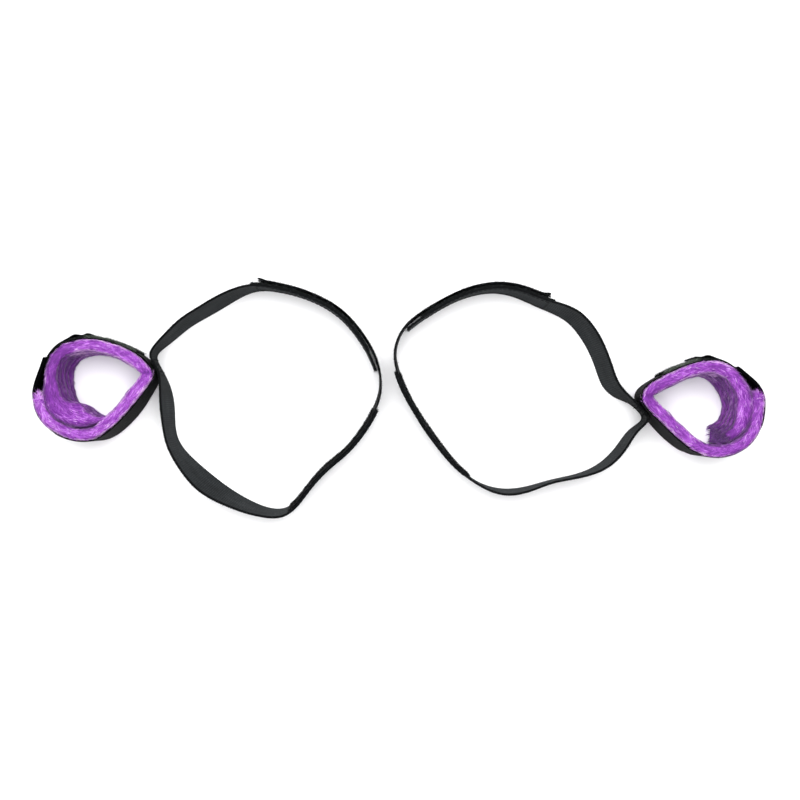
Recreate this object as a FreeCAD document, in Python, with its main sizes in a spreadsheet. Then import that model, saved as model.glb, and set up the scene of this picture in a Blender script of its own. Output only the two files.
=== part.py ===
import FreeCAD, Part
import os

# A pair of plush-lined limb cuffs. Each cuff is a spiral plush band, backed with webbing and closed
# by a hook tab; a long webbing loop, closed by overlapping hook and pile tapes, is sewn to its tip.
# Everything stands on edge on the floor: Z is up, X runs from the left cuff to the right cuff.

doc = FreeCAD.newDocument("PlushCuffPair")

# Driving dimensions, in millimetres.
SIZES = {
    "cuff_height": 50.0,
    "plush_thickness": 8.6,
    "plush_skin": 2.0,
    "backing_thickness": 0.9,
    "backing_inset": 3.0,
    "cuff_tape_inset": 5.0,
    "webbing_height": 37.0,
    "webbing_thickness": 1.4,
    "tape_inset": 1.0,
    "tape_thickness": 1.0,
    "thread_thickness": 0.4,
    "seam_inset": 4.0,
    "layer_gap": 0.1,
    "moving_gap": 0.4,
    "layout_shift_x": 0.9,
    "layout_shift_y": -0.1,
}

sheet = doc.addObject("Spreadsheet::Sheet", "Sizes")
for row, (alias, value) in enumerate(SIZES.items(), start=1):
    sheet.set("A%d" % row, alias)
    sheet.set("B%d" % row, str(value))
    sheet.setAlias("B%d" % row, alias)
doc.recompute()

CUFF_HEIGHT = SIZES["cuff_height"]
PLUSH_HALF = SIZES["plush_thickness"] / 2
WEB_HEIGHT = SIZES["webbing_height"]
WEB_HALF = SIZES["webbing_thickness"] / 2
TAPE = SIZES["tape_thickness"]
THREAD = SIZES["thread_thickness"]
GAP = SIZES["layer_gap"]
MOVING_GAP = SIZES["moving_gap"]
CORE_HALF = PLUSH_HALF - SIZES["plush_skin"]

# Cuff layers, as distances outwards from the middle of the plush band.
BACKING_IN = PLUSH_HALF + GAP
BACKING_OUT = BACKING_IN + SIZES["backing_thickness"]
PILE_IN = BACKING_OUT + GAP
PILE_OUT = PILE_IN + TAPE
TAB_IN = PILE_OUT + MOVING_GAP
TAB_OUT = TAB_IN + TAPE

# Loop layers, as distances outwards from the middle of the webbing. The tape sewn to the inside of
# the outer webbing end laps over the pile tape on the outside of the inner webbing end.
LOOP_PILE_IN = WEB_HALF + GAP
LOOP_PILE_OUT = LOOP_PILE_IN + TAPE
LAP_STEP = LOOP_PILE_OUT + MOVING_GAP + TAPE + GAP + WEB_HALF
LOOP_HOOK_IN = -(WEB_HALF + GAP + TAPE)
LOOP_HOOK_OUT = -(WEB_HALF + GAP)

Z_AXIS = FreeCAD.Vector(0, 0, 1)

# Lengths along a path, counted in its spans.
PIECE_SPANS = 1
CORE_END = 0.3
CORE_END_GAP = 0.02
CUT_HALF = 0.02
BAR_SPANS = 0.04
BAR_INSET = 0.03
SEAM_END = 0.25


def shifted(points, distance, side):
    """Moves a line of poles sideways, each step staying parallel; side is 1 for right, -1 for left."""
    count = len(points)
    result = []
    for index, (x, y) in enumerate(points):
        before = points[max(index - 1, 0)]
        after = points[min(index + 1, count - 1)]
        arriving = FreeCAD.Vector(x - before[0], y - before[1], 0)
        leaving = FreeCAD.Vector(after[0] - x, after[1] - y, 0)
        if index == 0:
            arriving = leaving
        if index == count - 1:
            leaving = arriving
        middle = arriving.normalize() + leaving.normalize()
        half_turn_cosine = middle.Length / 2
        outward = middle.cross(Z_AXIS).normalize() * side
        reach = distance / half_turn_cosine
        result.append((x + outward.x * reach, y + outward.y * reach))
    return result


def leaned(stations, side):
    """Splits (x, y, lean) stations into the poles of the lower and the upper edge."""
    lower = [(x, y) for x, y, lean in stations]
    upper = []
    for index, (x, y, lean) in enumerate(stations):
        upper.append(shifted(lower, lean, side)[index])
    return lower, upper


def curve_pieces(points, start, end):
    """Cubic curve led by a line of poles, from start to end counted in spans, in short pieces."""
    spans = len(points) - 3
    knots = [float(k) for k in range(spans + 1)]
    mults = [4] + [1] * (spans - 1) + [4]
    poles = [FreeCAD.Vector(x, y, 0) for x, y in points]
    breaks = range(PIECE_SPANS, spans, PIECE_SPANS)
    marks = [start] + [float(k) for k in breaks if start + 0.5 < k < end - 0.5] + [end]
    pieces = []
    for piece_start, piece_end in zip(marks, marks[1:]):
        curve = Part.BSplineCurve()
        curve.buildFromPolesMultsKnots(poles, mults, knots, False, 3)
        curve.segment(piece_start, piece_end)
        pieces.append(curve)
    return pieces


class Path:
    """The course of a ribbon standing on edge: poles at the floor and poles at a known height."""

    def __init__(self, lower, upper, height, side):
        self.lower = lower
        self.upper = upper
        self.height = height
        self.side = side

    def poles(self, z, distance):
        share = z / self.height
        level = []
        for (x0, y0), (x1, y1) in zip(self.lower, self.upper):
            level.append((x0 + (x1 - x0) * share, y0 + (y1 - y0) * share))
        return shifted(level, distance, self.side)

    def is_upright(self):
        return self.lower == self.upper


def new_body(name):
    body = doc.addObject("PartDesign::Body", name)
    body.Label = name
    return body


def outline_sketch(body, name, path, z, z_formula, layer, span):
    """Outline of one ribbon layer at height z: two parallel curves joined by two end lines."""
    sketch = body.newObject("Sketcher::SketchObject", name)
    plane = [part for part in body.Origin.OriginFeatures if part.Role == "XY_Plane"][0]
    sketch.AttachmentSupport = [(plane, "")]
    sketch.MapMode = "FlatFace"
    sketch.setExpression("AttachmentOffset.Base.z", z_formula)
    inner = curve_pieces(path.poles(z, layer[0]), span[0], span[1])
    outer = curve_pieces(path.poles(z, layer[1]), span[0], span[1])
    start_line = Part.LineSegment(inner[0].StartPoint, outer[0].StartPoint)
    end_line = Part.LineSegment(outer[-1].EndPoint, inner[-1].EndPoint)
    sketch.addGeometry(outer + [end_line] + inner[::-1] + [start_line], False)
    return sketch


def ribbon(body, name, path, layer, span, bottom, top, bottom_formula, top_formula):
    """Adds a ribbon layer between two heights: a pad if it is upright, else a ruled loft."""
    low = outline_sketch(body, name + "_low", path, bottom, bottom_formula, layer, span)
    if path.is_upright():
        pad = body.newObject("PartDesign::Pad", name + "_pad")
        pad.Profile = low
        pad.setExpression("Length", "%s - (%s)" % (top_formula, bottom_formula))
    else:
        high = outline_sketch(body, name + "_high", path, top, top_formula, layer, span)
        loft = body.newObject("PartDesign::AdditiveLoft", name + "_loft")
        loft.Profile = low
        loft.Sections = [high]
        loft.Ruled = True
    doc.recompute()


def single_ribbon(name, path, layer, span, bottom, top, bottom_formula, top_formula):
    body = new_body(name)
    ribbon(body, name, path, layer, span, bottom, top, bottom_formula, top_formula)
    return body


def plush_piece(name, path, span):
    """A length of plush band with the sealed hollow for its foam core."""
    body = new_body(name)
    layer = (-PLUSH_HALF, PLUSH_HALF)
    ribbon(body, name, path, layer, span, 0.0, CUFF_HEIGHT, "0 mm", "Sizes.cuff_height * 1 mm")
    hollow = outline_sketch(body, name + "_hollow", path, CUFF_HEIGHT / 2,
                            "Sizes.cuff_height / 2 * 1 mm", (-CORE_HALF, CORE_HALF),
                            (span[0] + CORE_END, span[1] - CORE_END))
    pocket = body.newObject("PartDesign::Pocket", name + "_pocket")
    pocket.Profile = hollow
    pocket.Midplane = True
    pocket.setExpression("Length", "(Sizes.cuff_height - 2 * Sizes.plush_skin) * 1 mm")
    doc.recompute()
    return body


def foam_piece(name, path, span):
    """The foam core inside one length of plush band."""
    layer = (-CORE_HALF + GAP, CORE_HALF - GAP)
    bottom = SIZES["plush_skin"] + GAP
    formula = "(Sizes.plush_skin + Sizes.layer_gap) * 1 mm"
    top_formula = "(Sizes.cuff_height - Sizes.plush_skin - Sizes.layer_gap) * 1 mm"
    core_span = (span[0] + CORE_END + CORE_END_GAP, span[1] - CORE_END - CORE_END_GAP)
    return single_ribbon(name, path, layer, core_span, bottom, CUFF_HEIGHT - bottom,
                         formula, top_formula)


def seam_frame(name, path, face, span, height, bars):
    """Stitching on a ribbon's face: a lower and an upper row joined by evenly spaced bars."""
    body = new_body(name)
    layer = (face + GAP / 2, face + GAP / 2 + THREAD)
    inset = SIZES["seam_inset"]
    low = "Sizes.seam_inset * 1 mm"
    low_top = "(Sizes.seam_inset + Sizes.thread_thickness) * 1 mm"
    high_bottom = "%g mm - (Sizes.seam_inset + Sizes.thread_thickness) * 1 mm" % height
    high = "%g mm - Sizes.seam_inset * 1 mm" % height
    ribbon(body, name + "_row1", path, layer, span, inset, inset + THREAD, low, low_top)
    reach = span[1] - span[0] - 2 * BAR_INSET - BAR_SPANS
    for number in range(bars):
        start = span[0] + BAR_INSET + reach * number / (bars - 1)
        ribbon(body, "%s_bar%d" % (name, number + 1), path, layer, (start, start + BAR_SPANS),
               inset, height - inset, low, high)
    ribbon(body, name + "_row2", path, layer, span, height - inset - THREAD, height - inset,
           high_bottom, high)
    return body


def cuff(prefix, unit):
    """The plush cuff of one unit; its outer end is a flap that unwraps, ending in a hook tab."""
    side = unit["side"]
    poles = unit["cuff"]
    path = Path(poles, poles, CUFF_HEIGHT, side)
    last = float(len(poles) - 3)
    cut = unit["flap_cut"]
    fixed = (cut + CUT_HALF, last)
    flap = (unit["plush_start"], cut - CUT_HALF)

    backing = ("Sizes.backing_inset * 1 mm", "(Sizes.cuff_height - Sizes.backing_inset) * 1 mm")
    backing_low = SIZES["backing_inset"]
    backing_high = CUFF_HEIGHT - backing_low
    tape = ("Sizes.cuff_tape_inset * 1 mm", "(Sizes.cuff_height - Sizes.cuff_tape_inset) * 1 mm")
    tape_low = SIZES["cuff_tape_inset"]
    tape_high = CUFF_HEIGHT - tape_low

    plush_piece(prefix + "_cuff_lining", path, fixed)
    foam_piece(prefix + "_cuff_foam", path, fixed)
    plush_piece(prefix + "_cuff_lining_flap", path, flap)
    foam_piece(prefix + "_cuff_foam_flap", path, flap)
    single_ribbon(prefix + "_cuff_webbing", path, (BACKING_IN, BACKING_OUT), fixed,
                  backing_low, backing_high, backing[0], backing[1])
    single_ribbon(prefix + "_cuff_pile_tape", path, (PILE_IN, PILE_OUT), unit["cuff_pile"],
                  tape_low, tape_high, tape[0], tape[1])
    single_ribbon(prefix + "_cuff_tab", path, (TAB_IN, TAB_OUT), unit["tab"],
                  tape_low, tape_high, tape[0], tape[1])

    # The backing of the flap runs on past the plush; the hook tape is sewn to its inner face.
    single_ribbon(prefix + "_cuff_webbing_flap", path, (BACKING_IN, BACKING_OUT),
                  (0.0, cut - CUT_HALF), backing_low, backing_high, backing[0], backing[1])
    root = (0.0, unit["hook_root_end"])
    single_ribbon(prefix + "_cuff_hook_root", path, (BACKING_IN - GAP - TAPE, BACKING_IN - GAP),
                  root, tape_low, tape_high, tape[0], tape[1])
    seam_frame(prefix + "_cuff_tab_stitching", path, BACKING_OUT,
               (SEAM_END, root[1] - SEAM_END), CUFF_HEIGHT, 2)


def loop(prefix, unit):
    """The long webbing loop of one unit, with its hook and pile closure."""
    side = unit["side"]
    lower, upper = leaned(unit["loop"], side)
    lap = unit["lapped_poles"]
    lower = lower + shifted(lower[:lap], LAP_STEP, side)
    upper = upper + shifted(upper[:lap], LAP_STEP, side)
    path = Path(lower, upper, WEB_HEIGHT, side)

    single_ribbon(prefix + "_loop_webbing", path, (-WEB_HALF, WEB_HALF), (0.0, unit["webbing_end"]),
                  0.0, WEB_HEIGHT, "0 mm", "Sizes.webbing_height * 1 mm")
    low = SIZES["tape_inset"]
    high = WEB_HEIGHT - low
    formulas = ("Sizes.tape_inset * 1 mm", "(Sizes.webbing_height - Sizes.tape_inset) * 1 mm")
    pile = unit["loop_pile"]
    single_ribbon(prefix + "_loop_pile_tape", path, (LOOP_PILE_IN, LOOP_PILE_OUT), pile,
                  low, high, formulas[0], formulas[1])
    hook = (LOOP_HOOK_IN, LOOP_HOOK_OUT)
    tail_cut = unit["tail_cut"]
    single_ribbon(prefix + "_loop_hook_tape", path, hook, (unit["hook_start"], tail_cut - CUT_HALF),
                  low, high, formulas[0], formulas[1])
    single_ribbon(prefix + "_loop_hook_tail", path, hook, (tail_cut + CUT_HALF, unit["tail_end"]),
                  low, high, formulas[0], formulas[1])
    seam_frame(prefix + "_loop_hook_stitching", path, WEB_HALF,
               (unit["hook_start"] + SEAM_END, unit["webbing_end"] - SEAM_END), WEB_HEIGHT, 2)
    seam_frame(prefix + "_loop_pile_stitching", path, -WEB_HALF - THREAD - GAP,
               (pile[0] + SEAM_END, pile[1] - SEAM_END), WEB_HEIGHT, 2)
    seam_frame(prefix + "_junction_stitching", path, -WEB_HALF - THREAD - GAP,
               unit["junction"], WEB_HEIGHT, 4)


# Courses are lists of poles. A cuff's course is the middle of its plush band: it starts beyond the
# plush, where only the flap's backing and hook tape run, then goes round the bottom, the sewn tip
# and the top to the inner end. A loop's course is the floor edge of its webbing, from its inner end
# round to the lap, each pole with the outward lean of the top edge.
LEFT = {
    "side": 1,
    "cuff": [
        (-242, 28.5), (-244.3, 21), (-246.8, 12.5), (-248, 3.5), (-247.3, -4.5), (-243.5, -12.5),
        (-234, -20), (-223, -23.8), (-213, -24), (-205.5, -20), (-197.5, -12.8), (-189, -4),
        (-182, 5), (-176, 12.5), (-173, 17), (-178, 25), (-188, 31), (-201.5, 36.5),
        (-215.5, 38.5), (-231, 35.5), (-239, 25.5), (-239.5, 13), (-237, 2), (-233.5, -5),
        (-226.5, -10.2), (-219, -12), (-213, -11),
    ],
    "plush_start": 2.0,
    "flap_cut": 5.6,
    "hook_root_end": 1.75,
    "cuff_pile": (14.7, 19.6),
    "tab": (16.9, 18.85),
    "loop": [
        (-19, 21, 1), (-24, 33, 1), (-32.5, 46, 1), (-44, 59, 1), (-58, 68, 0), (-73, 74, 0),
        (-87, 77.5, 0), (-101, 79.5, 1), (-114, 75, 3), (-128, 67, 5), (-141, 59.5, 4.5),
        (-152, 53, 3.5), (-163, 43, 2), (-170, 36, 1), (-173.9, 31.3, 0), (-170.4, 24.8, 0),
        (-166.9, 16.8, 0), (-163.5, 7.5, 3), (-162, -5, 4), (-162, -18, 2), (-160, -30, 1.5),
        (-150, -41, 6), (-137, -52, 10), (-123, -63.5, 8.5), (-108, -73, 5), (-95, -78.5, 3),
        (-83, -78.5, 2.5), (-74.5, -71.5, 2), (-65, -60, 2), (-53.5, -46.5, 2.5), (-40, -37.5, 2),
        (-29, -24.5, 2.5), (-20, -9.5, 3), (-13.5, 6.5, 2),
    ],
    "lapped_poles": 10,
    "tail_end": 39.2,
    "loop_pile": (0.4, 7.2),
    "hook_start": 25.5,
    "webbing_end": 31.2,
    "tail_cut": 36.0,
    "junction": (13.7, 14.9),
}
RIGHT = {
    "side": -1,
    "cuff": [
        (230.8, 20.4), (237.3, 14.8), (243.3, 9), (246, 2), (246, -5.5), (245, -14), (241.5, -24),
        (233, -32), (221, -36), (209.5, -35), (200, -28.8), (190, -20), (180.5, -10.5),
        (173.5, -4), (169.5, 1.5), (171.8, 7), (179, 11), (187, 14.8), (196, 19), (206, 22.3),
        (216, 23), (225.5, 19), (232.5, 10), (235.8, -1), (235.5, -11), (231.5, -19),
        (224.5, -24.3), (217, -25.5),
    ],
    "plush_start": 2.0,
    "flap_cut": 6.0,
    "hook_root_end": 1.75,
    "cuff_pile": (15.7, 20.6),
    "tab": (17.6, 20.15),
    "loop": [
        (6, 50.5, 0), (15, 57.5, 0), (27.5, 65, 0), (41, 72, 0), (55, 76.5, 0.5), (70, 78, 1),
        (85, 74, 2.5), (99, 67, 3), (112, 62, 5), (122, 56, 6.5), (130, 46, 6.5), (136, 34.5, 6),
        (141, 22, 6), (147, 11, 6), (156, 3.5, 4), (162.9, -1.7, 1), (168.4, -7.2, 0),
        (173.9, -13.5, 0), (168, -18.5, 0), (161.5, -23.5, 0.5), (153, -36, 1), (140, -47.8, 1),
        (124.5, -54.8, 0), (108, -58, 0), (91.5, -62, 1.5), (75, -64.6, 1), (58.5, -60, 0.5),
        (44.5, -50.5, 0.5), (32.5, -37.5, 1.5), (22.5, -24, 2.5), (12.5, -10, 1.5), (4.5, 5, 2),
        (-2, 20, 2), (-4.5, 32, 1), (-2, 44, 0.5),
    ],
    "lapped_poles": 10,
    "tail_end": 40.3,
    "loop_pile": (0.4, 7.2),
    "hook_start": 26.5,
    "webbing_end": 31.0,
    "tail_cut": 36.5,
    "junction": (14.4, 15.6),
}

for prefix, unit in (("left", LEFT), ("right", RIGHT)):
    cuff(prefix, unit)
    loop(prefix, unit)
    print(prefix, "built")

bodies = [part for part in doc.Objects if part.TypeId == "PartDesign::Body"]
for body in bodies:
    body.setExpression("Placement.Base.x", "Sizes.layout_shift_x * 1 mm")
    body.setExpression("Placement.Base.y", "Sizes.layout_shift_y * 1 mm")
doc.recompute()

for part in doc.Objects:
    if "Invalid" in part.State or "Error" in part.State:
        raise RuntimeError("%s did not rebuild" % part.Name)
os.makedirs("parts", exist_ok=True)
whole = FreeCAD.BoundBox()
for body in bodies:
    if body.Shape.isNull() or not body.Shape.isValid():
        raise RuntimeError("%s has no valid shape" % body.Label)
    whole.add(body.Shape.BoundBox)
    body.Shape.exportStep("parts/%s.step" % body.Label)
print(len(bodies), "parts, centre", whole.Center, "size", whole.XLength, whole.YLength, whole.ZLength)
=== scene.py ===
import bpy
import numpy as np
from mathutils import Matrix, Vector


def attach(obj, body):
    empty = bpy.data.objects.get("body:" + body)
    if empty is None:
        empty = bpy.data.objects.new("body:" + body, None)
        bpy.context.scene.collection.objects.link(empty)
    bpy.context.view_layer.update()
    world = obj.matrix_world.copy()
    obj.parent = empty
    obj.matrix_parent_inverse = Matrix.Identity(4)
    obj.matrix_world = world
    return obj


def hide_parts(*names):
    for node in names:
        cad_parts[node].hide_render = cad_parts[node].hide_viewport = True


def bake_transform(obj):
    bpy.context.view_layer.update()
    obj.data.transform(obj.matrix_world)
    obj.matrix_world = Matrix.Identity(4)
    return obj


# A pair of plush-lined limb cuffs, each sewn to a long webbing loop that closes with hook and pile
# tape. Everything stands on edge on the floor. Lengths in this script are millimetres until a mesh
# is made; each strap is laid along a course, at a length along it, a height and a depth outwards.

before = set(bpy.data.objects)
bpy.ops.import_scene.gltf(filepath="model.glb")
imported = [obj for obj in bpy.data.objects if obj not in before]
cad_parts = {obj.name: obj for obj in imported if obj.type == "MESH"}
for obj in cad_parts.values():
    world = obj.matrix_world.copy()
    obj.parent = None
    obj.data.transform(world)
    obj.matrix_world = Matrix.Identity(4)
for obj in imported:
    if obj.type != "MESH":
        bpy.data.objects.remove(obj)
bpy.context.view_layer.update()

MM = 0.001
SHIFT = np.array([0.9, -0.1])
CUFF_HEIGHT = 50.0
WEB_HEIGHT = 37.0

# Depths of the layers, outwards from the middle of the plush band and of the loop webbing.
BACKING = (4.4, 5.1)
CUFF_PILE = (5.2, 6.0)
TAB = (6.3, 7.1)
FLAP_HOOK = (3.3, 4.3)
WEB = (-0.7, 0.7)
LOOP_PILE = (0.8, 1.8)
LOOP_HOOK = (-1.8, -0.8)
LAP_STEP = 4.8

# How far the cloth bends to each side of the cuff's fold and of the loop's peel line.
FOLD_REACH = 9.0
PEEL_REACH = 7.0

# Length of a stitch and the gap after it: along the tapes, and on the patch at the cuff's tip.
TAPE_STITCH = (2.6, 0.8)
PATCH_STITCH = (1.9, 0.5)

UNITS = {
    "left": {
        "side": 1,
        "cuff": [
            (-242, 28.5), (-244.3, 21), (-246.8, 12.5), (-248, 3.5), (-247.3, -4.5),
            (-243.5, -12.5), (-234, -20), (-223, -23.8), (-213, -24), (-205.5, -20),
            (-197.5, -12.8), (-189, -4), (-182, 5), (-176, 12.5), (-173, 17), (-178, 25),
            (-188, 31), (-201.5, 36.5), (-215.5, 38.5), (-231, 35.5), (-239, 25.5),
            (-239.5, 13), (-237, 2), (-233.5, -5), (-226.5, -10.2), (-219, -12), (-213, -11),
        ],
        "cuff_lean": [
            0, 0, 0, 0, 0, 0, 0, 0, -0.6, -1.2, -1.3, -0.8, 0.8, 2.2, 2.8, 2.6, 1.4, 1, 1.5, 2,
            2.2, 1.5, 0.5, 0, 0, 0, 0,
        ],
        "flap_cut": 5.6,
        "hook_root_end": 1.75,
        "cuff_pile": (14.7, 19.6),
        "tab": (16.9, 18.85),
        "tab_kink": 7.5,
        "loop": [
            (-18.1, 21.4, 1), (-22.8, 33.7, 1), (-31.3, 46.9, 1), (-43, 60.1, 1), (-57.4, 69.2, 0),
            (-72.7, 75, 0), (-86.9, 78.2, 0), (-101.1, 79.9, 1), (-114, 75, 3), (-127.6, 66.2, 5),
            (-140.7, 58.9, 4.5), (-151.8, 52.8, 3.5), (-162.9, 42.9, 2), (-171.1, 37, -0.5),
            (-176.9, 31.6, -2.5), (-172.9, 23.6, -2.8), (-168.6, 16.1, -1.8), (-164.6, 7.3, 2.5),
            (-162.4, -5, 4), (-162.6, -18, 2), (-160.4, -30.3, 1.5), (-150.6, -41.6, 6),
            (-137.5, -52.6, 10), (-123.3, -63.9, 8.5), (-108, -73, 5), (-95, -78.5, 3),
            (-82.7, -79.6, 2.5), (-73.2, -72.8, 2), (-64.3, -60.6, 2), (-53.2, -46.8, 2.5),
            (-39.7, -37.9, 2), (-28.7, -24.7, 2.5), (-19.5, -9.8, 3), (-12.4, 6, 2),
        ],
        "tail_end": 39.75,
        "hook_start": 25.5,
        "webbing_end": 31.2,
        "loop_pile": (0.4, 6.2),
        "tail_cut": 36.0,
        "junction": (13.7, 14.9),
        "tip": 13.05,
        "flap_tuck": 1.8,
        "longer_start": 0.0,
        "covered": 7.6,
        "hidden_backing": (2.5, 4.6),
        # painted_light_and_shade raises or lowers the pile's tone over spans of the course: painted
        # light where a side is lit more, painted shade where it is lit less.
        "painted_light_and_shade": [(5.0, 9.5, 0.03), (17.6, 22.0, -0.4)],
        "inner_end": {
            "longer": 7.5, "drop": 0.05, "slant": 0.0, "shear": 0.0, "tip_depth": 3.9,
            "narrow_to": (0.1, 0.1), "taper": 19.0, "shade": 0.1, "skirt": 2.6,
            "swell_at": (0, 6, 14, 22, 31, 38, 50, 60),
            "swell_out": (4.0, 4.3, 3.8, 3.8, 5.4, 4.6, 1.2, 0.0),
            "swell_in": (1.0, 5.0, 6.4, 4.6, 1.6, 0.0, 0.0, 0.0),
        },
    },
    "right": {
        "side": -1,
        "cuff": [
            (230.8, 20.4), (237.3, 14.8), (243.3, 9), (246, 2), (246, -5.5), (245, -14),
            (241.5, -24), (233, -32), (221, -36), (209.5, -35), (200, -28.8), (190, -20),
            (180.5, -10.5), (173.5, -4), (169.5, 1.5), (171.8, 7), (179, 11), (187, 14.8),
            (196, 19), (206, 22.3), (216, 23), (225.5, 19), (232.5, 10), (235.8, -1),
            (235.5, -11), (231.5, -19), (224.5, -24.3), (217, -25.5),
        ],
        "cuff_lean": [
            0, 0, 0, 0, 0, 0, 0, 0, 0, -0.8, -1.3, -1.5, -0.3, 2.2, 3, 3, 2.5, 1.8, 1.6, 1.8, 2,
            2.2, 2, 1, 1, 2, 3, 3,
        ],
        "flap_cut": 6.0,
        "hook_root_end": 1.75,
        "cuff_pile": (15.7, 20.6),
        "tab": (17.9, 20.15),
        "tab_kink": 6.5,
        "loop": [
            (6.3, 50.2, 0), (15.2, 57.3, 0), (27.5, 65, 0), (40.9, 72.1, 0), (55, 76.5, 0.5),
            (70, 78, 1), (85, 74, 2.5), (99, 67, 3), (112, 62, 5), (122, 56, 6.5), (130, 46, 6.5),
            (136.6, 34.8, 6), (141.5, 22.3, 6), (145.2, 9.5, 6), (154.6, 1.6, 4),
            (163.8, -0.9, -0.5), (170, -5.7, -2.2), (177, -13.7, -2.2), (168.6, -19.3, -1),
            (162.2, -24.2, 0.5), (154.2, -37.1, 1), (140.9, -49, 1), (124.5, -54.9, -1),
            (107.9, -57.7, -2), (91.8, -63.1, 0.5), (75, -65.4, 1), (57.8, -61.6, 0.5),
            (43.6, -51.6, 0.5), (32.1, -37.8, 1.5), (22.5, -24, 2.5), (12.5, -10, 1.5),
            (4.1, 4.8, 2), (-2, 20, 2), (-5.1, 32, 1), (-2.6, 44.1, 0.5),
        ],
        "tail_end": 41.1,
        "hook_start": 25.75,
        "webbing_end": 31.0,
        "loop_pile": (0.4, 6.5),
        "tail_cut": 36.5,
        "junction": (14.4, 15.6),
        "tip": 12.95,
        "flap_tuck": 1.8,
        "longer_start": 3.0,
        "covered": 8.4,
        "hidden_backing": (4.6, 8.3),
        "painted_light_and_shade": [(2.0, 22.0, -0.1)],
        "inner_end": {
            "longer": -7.0, "drop": 0.1, "slant": 3.0, "shear": 1.3, "tip_depth": 4.6,
            "narrow_to": (0.95, 0.6), "taper": 20.0, "shade": 0.5, "skirt": 1.6,
            "swell_at": (0, 12, 30, 42, 54, 70),
            "swell_out": (4.0, 4.2, 3.4, 1.8, 1.0, 0.0),
            "swell_in": (0.0, 0.0, 0.0, 0.0, 0.0, 0.0),
        },
    },
}
PLUSH_START = 2.0
LAPPED_POLES = 10


# ---------------------------------------------------------------- courses

def unit_vectors(rows):
    """Each row scaled to length one."""
    return rows / np.maximum(np.linalg.norm(rows, axis=-1, keepdims=True), 1e-9)


def smooth(value, low, high):
    """Rises smoothly from 0 at low to 1 at high."""
    share = np.clip((value - low) / (high - low), 0, 1)
    return share * share * (3 - 2 * share)


def pole_shares(places, count):
    """Share of each pole at places, counted in spans, of a clamped uniform cubic curve."""
    spans = count - 3
    knots = np.concatenate([np.zeros(3), np.arange(spans + 1), np.full(3, spans)]).astype(float)
    at = np.clip(places, 0, spans - 1e-9)[:, None]
    shares = ((knots[:-1] <= at) & (at < knots[1:])).astype(float)
    for degree in (1, 2, 3):
        width = len(knots) - 1 - degree
        first = knots[:width]
        rise = knots[degree:degree + width] - first
        last = knots[degree + 1:degree + 1 + width]
        fall = last - knots[1:1 + width]
        rising = np.where(rise > 0, (at - first) / np.where(rise > 0, rise, 1), 0)
        falling = np.where(fall > 0, (last - at) / np.where(fall > 0, fall, 1), 0)
        shares = rising * shares[:, :width] + falling * shares[:, 1:1 + width]
    return shares


def mitres(points, side):
    """The step of each pole that moves the line outwards by one, every side staying parallel."""
    steps = unit_vectors(np.diff(points, axis=0))
    middle = np.vstack([steps[:1], steps]) + np.vstack([steps, steps[-1:]])
    outward = unit_vectors(np.column_stack([middle[:, 1], -middle[:, 0]])) * side
    return outward / (np.linalg.norm(middle, axis=1) / 2)[:, None]


class Course:
    """The line of a strap that stands on edge, with its own length, height and depth."""

    def __init__(self, lower, upper, height, side, wave=None):
        self.side = side
        self.height = height
        self.wave = wave
        count = len(lower)
        self.spans = np.linspace(0, count - 3, (count - 3) * 50 + 1)
        shares = pole_shares(self.spans, count)
        columns = [lower, upper, mitres(lower, side), mitres(upper, side)]
        self.table = np.hstack([shares @ column for column in columns])
        middle = (self.table[:, 0:2] + self.table[:, 2:4]) / 2
        steps = np.linalg.norm(np.diff(middle, axis=0), axis=1)
        self.lengths = np.concatenate([[0], np.cumsum(steps)])
        self.total = self.lengths[-1]

    def at(self, span):
        """Length along the course at a place counted in spans."""
        return float(np.interp(span, self.spans, self.lengths))

    def between(self, places):
        """The lengths along the course at a pair of places counted in spans."""
        return self.at(places[0]), self.at(places[1])

    def place(self, along, height, depth):
        """Points in metres. Past either end, the course goes on straight."""
        along, height, depth = np.broadcast_arrays(*np.atleast_1d(along, height, depth))
        inside = np.clip(along, 0.2, self.total - 0.2)
        cells = [np.interp(inside, self.lengths, column) for column in self.table.T]
        share = height / self.height
        x = cells[0] + (cells[2] - cells[0]) * share
        y = cells[1] + (cells[3] - cells[1]) * share
        out_x = cells[4] + (cells[6] - cells[4]) * share
        out_y = cells[5] + (cells[7] - cells[5]) * share
        if self.wave is not None:
            depth = depth + self.wave(along) * share
        past = (along - inside) * self.side
        flat = np.hypot(out_x, out_y)
        x = x + out_x * depth - out_y / flat * past
        y = y + out_y * depth + out_x / flat * past
        return np.stack([x, y, height], axis=-1) * MM

    def axes(self, along, height):
        """Unit vectors along the course, up the strap and outwards."""
        ahead = self.place(along + 0.3, height, 0)
        behind = self.place(along - 0.3, height, 0)
        onward = unit_vectors(ahead - behind)
        up = unit_vectors(self.place(along, height + 1, 0) - self.place(along, height - 1, 0))
        outward = unit_vectors(np.cross(onward, up)) * self.side
        return onward, up, outward


def cuff_course(unit, tuck=0.0):
    """The middle of the plush band; tuck draws its bare first end inwards."""
    poles = np.array(unit["cuff"], float) + SHIFT
    outward = mitres(poles, unit["side"])
    lower = poles - outward * np.array(unit["cuff_lean"])[:, None]
    drawn = outward[:3] * tuck * np.array([[1.0], [0.95], [0.4]])
    poles[:3] -= drawn
    lower[:3] -= drawn
    return Course(lower, poles, CUFF_HEIGHT, unit["side"])


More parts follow.
